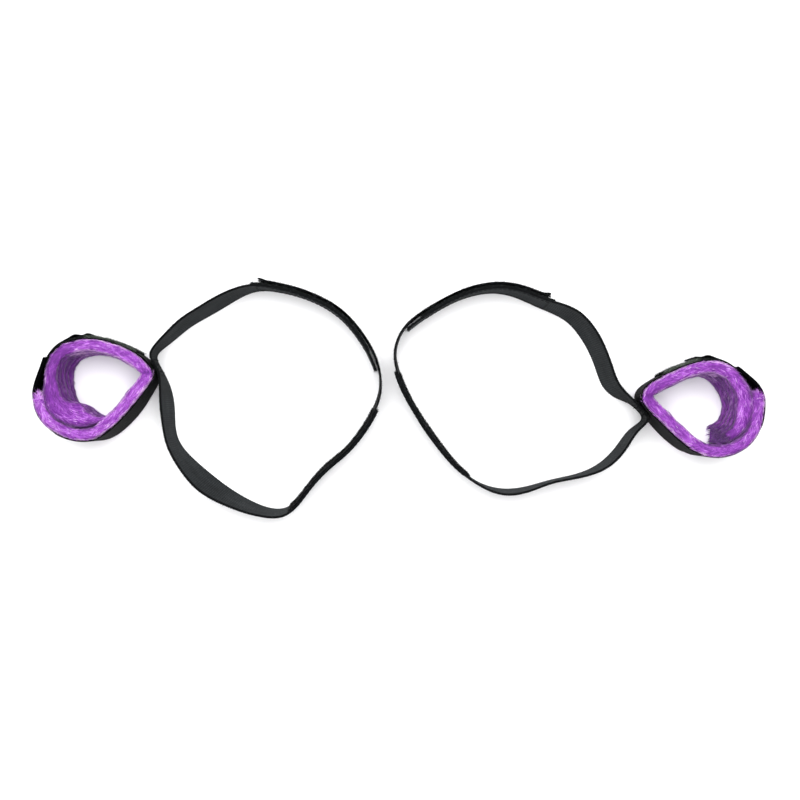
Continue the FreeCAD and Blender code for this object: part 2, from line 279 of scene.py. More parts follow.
def loop_course(unit, seed):
    """The middle of the webbing, once round and on past its start, outside it; its top edge waves."""
    stations = np.array(unit["loop"], float)
    lower = stations[:, :2] + SHIFT
    upper = lower + mitres(lower, unit["side"]) * stations[:, 2:]
    first = slice(0, LAPPED_POLES)
    lower_lap = lower[first] + mitres(lower[first], unit["side"]) * LAP_STEP
    upper_lap = upper[first] + mitres(upper[first], unit["side"]) * LAP_STEP
    lower = np.vstack([lower, lower_lap])
    upper = np.vstack([upper, upper_lap])
    course = Course(lower, upper, WEB_HEIGHT, unit["side"])
    calm_start = course.at(7.6)
    calm_end = course.at(unit["webbing_end"] - 1.5)

    def wave(along):
        free = smooth(along, calm_start, calm_start + 30)
        free = free * (1 - smooth(along, calm_end - 30, calm_end))
        return free * ripple(along / 31, along * 0, seed) * 0.45

    course.wave = wave
    return course


# ---------------------------------------------------------------- noise

def ripple(a, b, seed):
    """Smooth noise of two coordinates, from about -1 to 1, with features about one unit long."""
    random = np.random.default_rng(seed)
    total = 0.0
    for _ in range(7):
        turn = random.uniform(0, 2 * np.pi)
        pitch = random.uniform(0.7, 2.2)
        phase = random.uniform(0, 2 * np.pi)
        total = total + np.sin(pitch * (a * np.cos(turn) + b * np.sin(turn)) * 3 + phase)
    return total / 3.6


def cells(a, b, seed):
    """A random value from 0 to 1 for each cell one unit long and wide, in staggered rows."""
    row = np.floor(b)
    stagger = np.abs(np.sin(row * 91.7 + seed)) * 37
    column = np.floor(a + stagger)
    wild = np.sin(column * 12.9898 + row * 78.233 + seed * 3.7) * 43758.5453
    return wild - np.floor(wild)


# ---------------------------------------------------------------- meshes

def make(name, points, faces, uv, material, normals=None):
    """A mesh object of points in metres; uv has one row for each corner of each face."""
    mesh = bpy.data.meshes.new(name)
    mesh.from_pydata(np.asarray(points).reshape(-1, 3).tolist(), [], faces)
    layer = mesh.uv_layers.new(name="UVMap")
    layer.data.foreach_set("uv", np.asarray(uv, np.float32).ravel())
    mesh.polygons.foreach_set("use_smooth", np.ones(len(faces), bool))
    if normals is not None:
        mesh.normals_split_custom_set_from_vertices(np.asarray(normals).tolist())
    mesh.materials.append(material)
    obj = bpy.data.objects.new(name, mesh)
    bpy.context.scene.collection.objects.link(obj)
    return obj


def grid_faces(rows, columns, closed, flip):
    """Quads over a grid of points, and the (row, column) of each of their corners."""
    row = np.arange(rows - 1)[:, None]
    column = np.arange(columns if closed else columns - 1)[None, :]
    corners = [(row, column), (row, column + 1), (row + 1, column + 1), (row + 1, column)]
    if flip:
        corners = corners[::-1]
    places = [np.broadcast_arrays(r, c) for r, c in corners]
    rows_at = np.stack([r for r, c in places], axis=-1).reshape(-1, 4)
    columns_at = np.stack([c for r, c in places], axis=-1).reshape(-1, 4)
    quads = rows_at * columns + columns_at % columns
    return quads, rows_at, columns_at


def tube(name, grid, lengths, girths, material, side, caps=(True, True)):
    """A closed section swept along: grid is (stations, section points, 3), uv is in millimetres."""
    rows, columns = grid.shape[:2]
    quads, rows_at, columns_at = grid_faces(rows, columns, True, side == 1)
    uv = np.stack([lengths[rows_at], girths[columns_at]], axis=-1).reshape(-1, 2)
    faces = quads.tolist()
    half = columns // 2
    for wanted, row in ((caps[0], 0), (caps[1], rows - 1)):
        if not wanted:
            continue
        ring = np.arange(columns) + row * columns
        strip = [[ring[k], ring[k + 1], ring[-k - 2], ring[-k - 1]] for k in range(half - 1)]
        if (row == 0) == (side == 1):
            strip = [face[::-1] for face in strip]
        faces += [[int(corner) for corner in face] for face in strip]
        cap_uv = [(lengths[row] + (corner % columns) * 0.3, girths[corner % columns])
                  for face in strip for corner in face]
        uv = np.vstack([uv, np.array(cap_uv)])
    return make(name, grid, faces, uv, material)


def stadium(low, high, depths, across, round_points=3):
    """Section of a flat tape with round edges: heights, depths, normals and girth of its points."""
    radius = (depths[1] - depths[0]) / 2
    middle = (depths[1] + depths[0]) / 2
    face = np.linspace(low + radius, high - radius, across)
    turn = np.linspace(0, np.pi, round_points + 2)[1:-1]
    top = np.column_stack([high - radius + radius * np.sin(turn), middle + radius * np.cos(turn)])
    bottom = np.column_stack([low + radius - radius * np.sin(turn), middle - radius * np.cos(turn)])
    outer = np.column_stack([face, np.full(across, depths[1])])
    inner = np.column_stack([face[::-1], np.full(across, depths[0])])
    points = np.vstack([outer, top, inner, bottom])
    normals = np.vstack([
        np.tile([0, 1], (across, 1)), np.column_stack([np.sin(turn), np.cos(turn)]),
        np.tile([0, -1], (across, 1)), np.column_stack([-np.sin(turn), -np.cos(turn)]),
    ])
    steps = np.linalg.norm(np.diff(np.vstack([points, points[:1]]), axis=0), axis=1)
    return points, normals, np.concatenate([[0], np.cumsum(steps)])


def tape(name, course, span, heights, depths, material, step=0.6, across=14, relief=None,
         caps=(True, True), cut=0.0, seed=1, lift=None):
    """A flat woven tape along a course, with relief, slightly uneven cut ends and a lift off the
    layer under it."""
    points, normals, girths = stadium(heights[0], heights[1], depths, across)
    stations = np.linspace(span[0], span[1], max(int((span[1] - span[0]) / step), 3) + 1)
    along = np.repeat(stations[:, None], len(points), axis=1)
    height = np.repeat(points[None, :, 0], len(stations), axis=0)
    depth = np.repeat(points[None, :, 1], len(stations), axis=0)
    if relief is not None:
        raised = relief(along, height)
        height = height + normals[:, 0] * raised
        depth = depth + normals[:, 1] * raised
    if lift is not None:
        depth = depth + lift(along)
    if cut:
        near_start = 1 - smooth(along, span[0], span[0] + 3)
        near_end = smooth(along, span[1] - 3, span[1])
        jag = cut * ripple(height / 4, height * 0, seed)
        along = along + jag * (near_end * caps[1] - near_start * caps[0])
    grid = course.place(along, height, depth)
    return tube(name, grid, stations, girths, material, course.side, caps)


def ribs(pitch, depth, selvedge, low, high):
    """Relief of webbing: weft ribs across it and a raised bead along each edge."""
    def relief(along, height):
        row = np.floor(height / 1.6)
        rib = np.cos(2 * np.pi * (along / pitch + (row % 2) * 0.5)) * depth
        edge = np.minimum(height - low, high - height)
        return rib + selvedge * np.exp(-((edge - 1.2) / 0.8) ** 2)
    return relief


def fibres(name, roots, onward, normals, lengths, widths, lift, sway, tones, material, seed,
           bend=0.5):
    """Flat tapered hairs that leave a surface at roots and lie over along onward.
    uv.x is each hair's tone and uv.y runs from root to tip."""
    random = np.random.default_rng(seed)
    count = len(roots)
    across = unit_vectors(np.cross(onward, normals))
    turn = random.normal(0, sway, count)[:, None]
    heading = unit_vectors(onward * np.cos(turn) + across * np.sin(turn))
    rise = (lift * random.uniform(0.6, 1.4, count))[:, None]
    first = unit_vectors(heading * np.cos(rise) + normals * np.sin(rise))
    later = rise * (1 - bend) - 0.1
    second = unit_vectors(heading * np.cos(later) + normals * np.sin(later)
                          + across * random.normal(0, sway, count)[:, None])
    length = (lengths * random.uniform(0.7, 1.3, count))[:, None] * MM
    middle = roots + first * length * 0.5
    tip = middle + second * length * 0.5
    roll = random.uniform(-0.9, 0.9, count)[:, None]
    side = unit_vectors(np.cross(first, normals))
    side = unit_vectors(side * np.cos(roll) + normals * np.sin(roll))
    half = (widths * random.uniform(0.7, 1.3, count))[:, None] * MM / 2
    points = np.stack([roots - side * half, roots + side * half, middle + side * half * 0.85,
                       middle - side * half * 0.85, tip], axis=1)
    points[..., 2] = np.maximum(points[..., 2], 0.15 * MM)
    base = np.arange(count)[:, None] * 5
    quads = (base + [0, 1, 2, 3]).tolist()
    tips = (base + [3, 2, 4]).tolist()
    tone = np.asarray(tones)[:, None]
    ones = np.ones_like(tone)
    quad_uv = np.stack([np.hstack([tone, tone * 0 + v]) for v in (0, 0, 0.5, 0.5)], axis=1)
    tip_uv = np.stack([np.hstack([tone, ones * v]) for v in (0.5, 0.5, 1)], axis=1)
    uv = np.vstack([quad_uv.reshape(-1, 2), tip_uv.reshape(-1, 2)])
    soft = unit_vectors(normals + 0.35 * side * random.uniform(-1, 1, count)[:, None])
    return make(name, points, quads + tips, uv, material, np.repeat(soft, 5, axis=0))


def capsules(name, centres, axes, normals, length, radius, material):
    """Many short rounded stitches, each lying along its own axis."""
    rings = np.array([(-0.5, 0.0), (-0.42, 0.75), (-0.2, 1.0), (0.2, 1.0), (0.42, 0.75), (0.5, 0.0)])
    turns = np.arange(6) * np.pi / 3
    across = unit_vectors(np.cross(axes, normals))
    shape = []
    for share, girth in rings:
        for turn in turns:
            shape.append((share * length, girth * radius * np.cos(turn),
                          girth * radius * np.sin(turn)))
    shape = np.array(shape) * MM
    points = (centres[:, None] + axes[:, None] * shape[None, :, :1]
              + normals[:, None] * shape[None, :, 1:2] + across[:, None] * shape[None, :, 2:])
    quads, rows_at, columns_at = grid_faces(len(rings), 6, True, False)
    faces = (np.arange(len(centres))[:, None, None] * len(shape) + quads).reshape(-1, 4)
    one = np.stack([rows_at, columns_at], axis=-1).reshape(-1, 2) * 0.4
    uv = np.tile(one, (len(centres), 1)) + np.repeat(np.arange(len(centres)) * 0.37,
                                                     len(one))[:, None]
    return make(name, points, faces.tolist(), uv, material)


def thread(name, points, radius, material):
    """A thin round loose thread through points in metres."""
    points = np.asarray(points, float)
    onward = unit_vectors(np.gradient(points, axis=0))
    across = unit_vectors(np.cross(onward, [0.3, 0.2, 1.0]))
    other = np.cross(onward, across)
    turns = np.arange(5) * 2 * np.pi / 5
    taper = np.minimum(1, np.linspace(3, 0.3, len(points)))[:, None, None]
    ring = (across[:, None] * np.cos(turns)[:, None] + other[:, None] * np.sin(turns)[:, None])
    grid = points[:, None] + ring * radius * MM * taper
    steps = np.concatenate([[0], np.cumsum(np.linalg.norm(np.diff(points, axis=0), axis=1))])
    return tube(name, grid, steps / MM, np.arange(6) * 0.4, material, 1)


# ---------------------------------------------------------------- materials

def colour(red, green, blue):
    """Linear colour from 0-255 display values."""
    values = np.array([red, green, blue]) / 255
    linear = np.where(values <= 0.04045, values / 12.92, ((values + 0.055) / 1.055) ** 2.4)
    return (*[float(v) for v in linear], 1.0)


class Surface:
    """A procedural material under construction."""

    def __init__(self, name, roughness, sheen=0.0, sheen_tint=(1, 1, 1, 1), specular=0.15):
        self.material = bpy.data.materials.new(name)
        self.material.use_nodes = True
        self.tree = self.material.node_tree
        self.shader = self.tree.nodes["Principled BSDF"].inputs
        self.shader["Roughness"].default_value = roughness
        self.shader["Sheen Weight"].default_value = sheen
        self.shader["Sheen Roughness"].default_value = 0.5
        self.shader["Sheen Tint"].default_value = sheen_tint
        self.shader["Specular IOR Level"].default_value = specular

    def node(self, kind, source=None, **settings):
        """A node whose first input is source; each setting is its own or the value of an input."""
        made = self.tree.nodes.new(kind)
        for key, value in settings.items():
            if hasattr(made, key):
                setattr(made, key, value)
            else:
                made.inputs[key.title()].default_value = value
        if source is not None:
            self.tree.links.new(source, made.inputs[0])
        return made

    def uv(self):
        """The vector of lengths in millimetres, and its two parts."""
        vector = self.node("ShaderNodeUVMap", uv_map="UVMap").outputs["UV"]
        parts = self.node("ShaderNodeSeparateXYZ", vector)
        return vector, parts.outputs["X"], parts.outputs["Y"]

    def place(self):
        """The place on the object, in metres."""
        return self.node("ShaderNodeTexCoord").outputs["Object"]

    def scaled(self, vector, scale):
        return self.node("ShaderNodeMapping", vector, scale=scale).outputs["Vector"]

    def noise(self, vector, scale, detail=3.0, roughness=0.5):
        made = self.node("ShaderNodeTexNoise", vector, scale=scale, detail=detail,
                         roughness=roughness)
        return made.outputs["Fac"]

    def wave(self, vector, scale, direction, distortion=0.0):
        made = self.node("ShaderNodeTexWave", vector, wave_type="BANDS", wave_profile="SIN",
                         bands_direction=direction, scale=scale, distortion=distortion, detail=1.0)
        return made.outputs["Fac"]

    def maths(self, operation, first, second=0):
        made = self.node("ShaderNodeMath", operation=operation)
        for socket, value in zip(made.inputs, (first, second)):
            if isinstance(value, (int, float)):
                socket.default_value = value
            else:
                self.tree.links.new(value, socket)
        return made.outputs[0]

    def total(self, *shares):
        """The sum of values, each multiplied by its share."""
        value = self.maths("MULTIPLY", *shares[0])
        for share in shares[1:]:
            value = self.maths("ADD", value, self.maths("MULTIPLY", *share))
        return value

    def paint(self, value, stops):
        """Colours the surface by a value; each stop is the value and its 0-255 colour."""
        made = self.node("ShaderNodeValToRGB", value)
        points = made.color_ramp.elements
        while len(points) < len(stops):
            points.new(0.5)
        for point, (place, *shade) in zip(points, stops):
            point.position = place
            point.color = colour(*shade)
        self.tree.links.new(made.outputs["Color"], self.shader["Base Color"])

    def bump(self, height, distance, strength=1.0):
        made = self.node("ShaderNodeBump", strength=strength, distance=distance)
        self.tree.links.new(height, made.inputs["Height"])
        self.tree.links.new(made.outputs["Normal"], self.shader["Normal"])


# Scale at which a wave texture repeats once in one unit.
WAVE_OF_ONE = 0.314


def woven(name, shades, pitch, sheen, edges, edge_shade, painted_shade=None):
    """Black woven tape: crossed threads, dusty worn patches and darker selvedges; shades are its
    dark, light and worn colours; edges are the heights where the flat of the tape ends, in
    metres; painted_shade darkens it as painted shade around a length along, over a reach and by an
    amount."""
    made = Surface(name, 0.72, sheen, colour(190, 200, 205), 0.03)
    vector, along, across = made.uv()
    weft = made.wave(vector, WAVE_OF_ONE / pitch, "X", 0.6)
    warp = made.wave(vector, 0.42, "Y", 0.4)
    weave = made.maths("MULTIPLY", weft, warp)
    patch = made.noise(made.scaled(vector, (0.05, 0.12, 1)), 1.0, 4.0, 0.6)
    speck = made.noise(vector, 2.3, 2.0, 0.7)
    blend = made.total((weave, 0.45), (patch, 0.55), (speck, 0.25))
    height = made.node("ShaderNodeSeparateXYZ", made.place()).outputs["Z"]
    above = made.maths("GREATER_THAN", height, edges[1])
    below = made.maths("LESS_THAN", height, edges[0])
    selvedge = made.maths("MULTIPLY", made.maths("ADD", above, below), edge_shade)
    blend = made.maths("SUBTRACT", blend, selvedge)
    # Painted shade: the tape is darkened around a length along, falling off linearly over the reach.
    if painted_shade is not None:
        off = made.maths("ABSOLUTE", made.maths("SUBTRACT", along, painted_shade[0]))
        near = made.maths("SUBTRACT", 1.0, made.maths("DIVIDE", off, painted_shade[1]))
        shade_depth = made.maths("MULTIPLY", made.maths("MAXIMUM", near, 0.0), painted_shade[2])
        blend = made.maths("SUBTRACT", blend, shade_depth)
    made.paint(blend, [(place, *shade) for place, shade in zip((0.25, 0.62, 0.95), shades)])
    made.bump(made.maths("ADD", weave, made.maths("MULTIPLY", speck, 0.4)), 0.00018, 0.7)
    return made.material


def plush_material():
    """Dyed pile: tone in uv.x, which also carries painted highlights and painted shade, root to tip
    in uv.y.
    """
    made = Surface("plush_hair", 0.55, 0.35, colour(236, 200, 255))
    vector, tone, tip = made.uv()
    patch = made.noise(made.scaled(made.place(), (90, 90, 60)), 1.0, 3.0, 0.55)
    made.paint(made.total((tone, 0.8), (patch, 0.22), (tip, 0.14)), [
        (0.05, 72, 22, 98), (0.35, 122, 48, 152), (0.6, 160, 78, 192), (0.82, 196, 124, 220),
        (1.0, 238, 198, 244),
    ])
    return made.material


def plush_ground():
    """The knitted ground under the pile, seen only in the partings."""
    made = Surface("plush_ground", 0.85, 0.3, colour(220, 170, 250))
    vector, along, across = made.uv()
    streak = made.noise(made.scaled(vector, (0.16, 1.1, 1)), 1.0, 4.0, 0.6)
    fine = made.noise(made.scaled(vector, (0.7, 3.0, 1)), 1.0, 2.0, 0.6)
    value = made.total((streak, 0.7), (fine, 0.35))
    made.paint(value, [(0.3, 62, 20, 88), (0.55, 112, 46, 142), (0.8, 150, 76, 184)])
    made.bump(value, 0.0006, 0.8)
    return made.material


def hair_material(name, stops, roughness=0.6):
    """Black hair, hooks or lint: tone in uv.x, root to tip in uv.y."""
    made = Surface(name, roughness, 0.0, colour(210, 220, 215), 0.03)
    vector, tone, tip = made.uv()
    made.paint(made.total((tone, 0.85), (tip, 0.15)), stops)
    return made.material


def thread_material():
    """Black sewing thread with its twist."""
    made = Surface("sewing_thread", 0.6, 0.0, specular=0.03)
    vector, along, across = made.uv()
    twist = made.wave(made.scaled(vector, (1.0, 0.5, 1)), 1.2, "DIAGONAL", 0.3)
    made.paint(twist, [(0.1, 6, 6, 7), (0.9, 26, 27, 29)])
    made.bump(twist, 0.0001, 0.8)
    return made.material


plush_hair = plush_material()
ground = plush_ground()
backing = woven("backing", ((2, 2, 3), (9, 9, 11), (24, 24, 27)), 1.1, 0.0, (0.0042, 0.0458), 0.3)
hook_back = woven("hook_back", ((2, 2, 3), (9, 10, 11), (26, 27, 29)), 0.9, 0.0,
                  (0.0022, 0.0348), 0.2)
pile_back = woven("pile_back", ((7, 8, 7), (22, 25, 23), (46, 51, 46)), 1.0, 0.0,
                  (0.0022, 0.0348), 0.2)
pile_hair = hair_material("pile_hair", [(0.1, 26, 29, 27), (0.6, 62, 68, 62), (1.0, 120, 128, 118)])
hook_hair = hair_material("hook_hair", [(0.1, 9, 9, 10), (0.8, 34, 36, 38), (1.0, 70, 74, 76)], 0.5)
black_hair = hair_material("black_hair", [(0.1, 10, 10, 11), (0.8, 34, 36, 38), (1.0, 80, 84, 86)])
sewing = thread_material()


# ---------------------------------------------------------------- plush bands

GROUND_HALF = 3.3
GROOVE_HEIGHTS = (11.0, 21.0, 31.0, 40.5)

CLOTH_FRAMES = 20
CLOTH_LIMIT = 1.0 * MM
CLOTH = {
    "quality": 6, "mass": 0.25, "tension_stiffness": 6, "compression_stiffness": 6,
    "shear_stiffness": 3, "bending_stiffness": 0.2, "use_pressure": True,
    "uniform_pressure_force": 5, "vertex_group_mass": "sewn",
}


def plush_section(count):
    """Rounded section of the plush ground: evenly spaced heights, depths, normals and girth."""
    half = GROUND_HALF
    low, high, radius = 1.2, 48.9, 2.1
    turn = np.linspace(0, np.pi / 2, 9)
    corners = [(high - radius, half - radius, 0), (high - radius, -half + radius, 1),
               (low + radius, -half + radius, 2), (low + radius, half - radius, 3)]
    outline = []
    for height, depth, quarter in corners:
        for angle in turn + quarter * np.pi / 2:
            outline.append((height + radius * np.sin(angle), depth + radius * np.cos(angle)))
    outline = np.array(outline + [outline[0]])
    steps = np.concatenate([[0], np.cumsum(np.linalg.norm(np.diff(outline, axis=0), axis=1))])
    girths = np.linspace(0, steps[-1], count + 1)
    places = girths[:-1]
    heights = np.interp(places, steps, outline[:, 0])
    depths = np.interp(places, steps, outline[:, 1])
    before = np.roll(np.column_stack([heights, depths]), 1, axis=0)
    after = np.roll(np.column_stack([heights, depths]), -1, axis=0)
    run = unit_vectors(after - before)
    normals = np.column_stack([-run[:, 1], run[:, 0]])
    return heights, depths, normals, girths


def cloth_pass(name, grid, sewn, side):
    """Lets the plush ground puff up a little as cloth under light pressure, its sewn points held."""
    rows, columns = grid.shape[:2]
    quads, rows_at, columns_at = grid_faces(rows, columns, True, side == 1)
    ends = [list(range(first, first + columns)) for first in (0, (rows - 1) * columns)]
    mesh = bpy.data.meshes.new(name)
    mesh.from_pydata(grid.reshape(-1, 3).tolist(), [], quads.tolist() + ends)
    obj = bpy.data.objects.new(name, mesh)
    scene = bpy.context.scene
    scene.collection.objects.link(obj)
    group = obj.vertex_groups.new(name="sewn")
    group.add(np.flatnonzero(sewn.ravel()).tolist(), 1.0, "REPLACE")
    cloth = obj.modifiers.new("Cloth", "CLOTH")
    for key, value in CLOTH.items():
        setattr(cloth.settings, key, value)
    cloth.settings.effector_weights.gravity = 0
    cloth.collision_settings.use_collision = False
    for number in range(1, CLOTH_FRAMES + 1):
        scene.frame_set(number)
    evaluated = obj.evaluated_get(bpy.context.evaluated_depsgraph_get())
    moved = np.zeros(len(mesh.vertices) * 3, np.float32)
    evaluated.data.vertices.foreach_get("co", moved)
    move = moved.reshape(grid.shape) - grid
    size = np.linalg.norm(move, axis=-1, keepdims=True)
    move = move * np.minimum(1, CLOTH_LIMIT / np.maximum(size, 1e-9))
    bpy.data.objects.remove(obj)
    scene.frame_set(1)
    return grid + move


def resample(grid, rows, columns):
    """The same closed tube with more stations and section points, on smooth cubic curves."""
    def spread(values, count, axis, closed):
        size = values.shape[axis]
        places = np.linspace(0, size if closed else size - 1, count, endpoint=not closed)
        base = np.floor(places).astype(int)
        share = places - base
        total = 0
        for offset in (-1, 0, 1, 2):
            index = base + offset
            index = index % size if closed else np.clip(index, 0, size - 1)
            t = share
            weight = {-1: -0.5 * t + t ** 2 - 0.5 * t ** 3, 0: 1 - 2.5 * t ** 2 + 1.5 * t ** 3,
                      1: 0.5 * t + 2 * t ** 2 - 1.5 * t ** 3, 2: -0.5 * t ** 2 + 0.5 * t ** 3}[offset]
            form = [1] * values.ndim
            form[axis] = count
            total = total + np.take(values, index, axis=axis) * weight.reshape(form)
        return total
    return spread(spread(grid, rows, 0, False), columns, 1, True)


def at_places(values, row, column):
    """Values of a closed grid at fractional rows and columns."""
    rows, columns = values.shape[:2]
    r0 = np.clip(np.floor(row).astype(int), 0, rows - 2)
    c0 = np.floor(column).astype(int) % columns
    c1 = (c0 + 1) % columns
    r = (row - r0)[:, None]
    c = (column - np.floor(column))[:, None]
    low = values[r0, c0] * (1 - c) + values[r0, c1] * c
    high = values[r0 + 1, c0] * (1 - c) + values[r0 + 1, c1] * c
    return low * (1 - r) + high * r


class Plush:
    """One cuff's plush band: a ground shaped as cloth, and the hair that covers it."""

    COARSE = 44
    FINE = 132

    def __init__(self, prefix, course, unit, start, end, seed):
        self.prefix = prefix
        self.course = course
        self.inner_end = unit["inner_end"]
        self.tip = course.at(unit["tip"])
        self.covered = course.at(unit["covered"])
        self.painted_light_and_shade = [(course.at(first), course.at(last), amount)
                      for first, last, amount in unit["painted_light_and_shade"]]
        self.seed = seed
        self.start = start
        self.end = end
        heights, depths, normals, girths = plush_section(self.COARSE)
        self.girths = np.interp(np.linspace(0, self.COARSE, self.FINE + 1),
                                np.arange(self.COARSE + 1), girths)
        count = int((end - start) / 2.6)
        stations = np.linspace(start, end, count)
        along = np.repeat(stations[:, None], self.COARSE, axis=1)
        height = np.repeat(heights[None], count, axis=0)
        depth = np.repeat(depths[None], count, axis=0)
        raised = np.zeros_like(along)
        inner = smooth(-normals[:, 1], 0.6, 0.95)[None]
        for number, groove in enumerate(GROOVE_HEIGHTS):
            line = groove + 1.6 * ripple(along / 60, along * 0, seed + number)
            depth_here = 1.5 + 0.5 * ripple(along / 45, along * 0 + number, seed + 7)
            raised -= inner * depth_here * np.exp(-((height - line) / 1.9) ** 2)
        backed = smooth(normals[:, 1], 0.6, 0.95)[None]
        raised += (1 - backed) * 0.3 * ripple(along / 14, height / 14, seed + 20)
        top = smooth(normals[:, 0], 0.5, 0.95)[None]
        raised += top * 0.35 * ripple(along / 22, depth / 8, seed + 31)
        raised -= top * 2.4 * np.exp(-((along - self.tip) / 1.5) ** 2)
        raised += backed * smooth(height, 46, 47) * 1.3 * np.exp(-((along - self.tip) / 2.2) ** 2)
        height = height + normals[None, :, 0] * raised
        depth = depth + normals[None, :, 1] * raised
        height, depth, along = self.shape_ends(along, height, depth)
        sewn = (normals[:, 1] > 0.9)[None] & (np.abs(heights - 25) < 21)[None]
        sewn = np.repeat(sewn, count, axis=0)
        sewn[0] = True
        sewn[-1] = True
        grid = course.place(along, height, depth)
        grid = cloth_pass(prefix + "_cloth", grid, sewn, course.side)
        rows = int((end - start) / 0.9)
        self.grid = resample(grid, rows, self.FINE)
        self.stations = np.linspace(start, end, rows)
        self.tangent = unit_vectors(np.gradient(self.grid, axis=0))
        around = np.roll(self.grid, -1, axis=1) - np.roll(self.grid, 1, axis=1)
        self.around = unit_vectors(around)
        self.normal = unit_vectors(np.cross(self.around, self.tangent)) * -course.side

    def shape_ends(self, along, height, depth):
        """Rounds off the outer end into a fluffy nub; the inner end fills out against the band
        outside it, then thins, sinks and slants to its ragged edge."""
        from_start = along - self.start
        round_off = np.sqrt(np.clip(1 - (1 - np.clip(from_start / 4.0, 0, 1)) ** 2, 0.02, 1))
        free = np.where(depth < 0, 1, smooth(height, 46, 48))
        bulge = 1 + 0.25 * free * np.exp(-((from_start - 4.5) / 3.0) ** 2)
        depth = depth * round_off * bulge
        height = CUFF_HEIGHT / 2 + (height - CUFF_HEIGHT / 2) * (0.94 + 0.06 * round_off)

        shape = self.inner_end
        from_end = self.end - along
        share = height / CUFF_HEIGHT
        outer = depth > 0
        out = np.interp(from_end, shape["swell_at"], shape["swell_out"])
        inward = np.interp(from_end, shape["swell_at"], shape["swell_in"]) * (0.25 + 0.75 * share)
        depth = depth * (1 + np.where(outer, out, inward) / GROUND_HALF)
        narrow = shape["narrow_to"][0] * (1 - share) + shape["narrow_to"][1] * share
        thin = narrow + (1 - narrow) * smooth(from_end, 0, shape["taper"])
        depth = shape["tip_depth"] + (depth - shape["tip_depth"]) * thin
        low = (1 - smooth(height, 28, 46)) * (1 - smooth(from_end, 28, 46))
        depth = depth + outer * low * shape["skirt"]
        near = 1 - smooth(from_end, 0, 30)
        height = height * (1 - shape["drop"] * near)
        along = along - shape["slant"] * near * share
        along = along + shape["shear"] * (1 - smooth(from_end, 0, 14)) * depth / GROUND_HALF
        return height, depth, along

    def slab(self, name, start, end, caps):
        """The ground between two lengths along the band."""
        rows = np.flatnonzero((self.stations > start) & (self.stations < end))
        keep = self.grid[rows]
        lengths = self.stations[rows]
        return tube(name, keep, lengths, self.girths, ground, self.course.side, caps)

    def hair(self, name, start, end, zone, seed):
        """Hair over one zone of the ground: each zone is (name, density, length, lift, width)."""
        kind, density, length, lift, width = zone
        random = np.random.default_rng(seed)
        area = (end - start) * self.girths[-1]
        count = int(area * density)
        along = random.uniform(start, end, count)
        column = random.uniform(0, self.FINE, count)
        row = np.interp(along, self.stations, np.arange(len(self.stations)))
        roots = at_places(self.grid, row, column)
        onward = unit_vectors(at_places(self.tangent, row, column))
        normals = unit_vectors(at_places(self.normal, row, column))
        around = unit_vectors(at_places(self.around, row, column))
        middle = self.course.place(along, roots[:, 2] / MM, 0)
        outward = self.course.axes(along, roots[:, 2] / MM)[2]
        depth = np.sum((roots - middle) * outward, axis=1) / MM
        up = normals[:, 2]
        high = roots[:, 2] / MM
        out = np.sum(normals * outward, axis=1)
        if kind == "rim":
            keep = up > 0.35
        elif kind == "inner":
            keep = (up <= 0.35) & (out < 0.2)
        else:
            keep = (up <= 0.35) & (out >= 0.2) & ((high > 46.4) | (high < 2.6))
        keep &= high > 0.8
        girth = column / self.FINE * self.girths[-1]
        clump = cells(along / 4.6, girth / 0.85, self.seed)
        speck = cells(along / 1.4, girth / 0.7, self.seed + 9)
        broad = ripple(along / 17, girth / 9, self.seed + 3)
        tone = 0.13 + 0.40 * clump + 0.26 * speck + 0.10 * broad + random.normal(0, 0.21, count)
        # Painted light and shade: the pile's tone is raised or lowered over listed spans of the
        # course.
        for first, last, amount in self.painted_light_and_shade:
            tone += amount * smooth(along, first - 8, first + 8) * smooth(-along, -last - 8, 8 - last)
        # under marks the start of the band, which the inner end lies against, and over marks the
        # inner end; in the narrow gap between these passes the hair takes painted shade and loses its
        # painted edge highlights.
        under = along < self.covered
        over = self.end - along < 48
        edge = smooth(np.abs(depth), 2.4, 3.6)
        if kind == "rim":
            # Painted highlight: pale lines along both edges of the rim, left off where the passes
            # meet and near the inner end.
            joined = (under & (depth < 0)) | (over & (depth > 0))
            rim_highlight = np.where(joined, 0.0, 0.85) * random.uniform(0.5, 1.2, count)
            edging = smooth(np.abs(depth), 2.5, 3.0) * (1 - smooth(np.abs(depth), 4.0, 5.0))
            edging *= smooth(self.end - along, 30, 60)
            tone += rim_highlight * edging - 0.06
            # Painted shade in the crease at the cuff's tip.
            tone -= 0.5 * np.exp(-((along - self.tip) / 1.3) ** 2)
        if kind == "inner":
            # bare is a painted highlight along the top edge of the inner wall, away from the inner
            # end; where the band's start lies under the flap, that edge takes painted shade instead.
            bare = 0.5 * smooth(self.end - along, 50, 75)
            tone += np.where(under, -0.15, bare) * smooth(high, 44.5, 47.5) - 0.05
        if kind == "outer":
            # Painted highlight along the top and bottom edges of the outer face, and painted shade
            # where the inner end lies over it.
            tone += np.where(over, -0.6, 0.55)
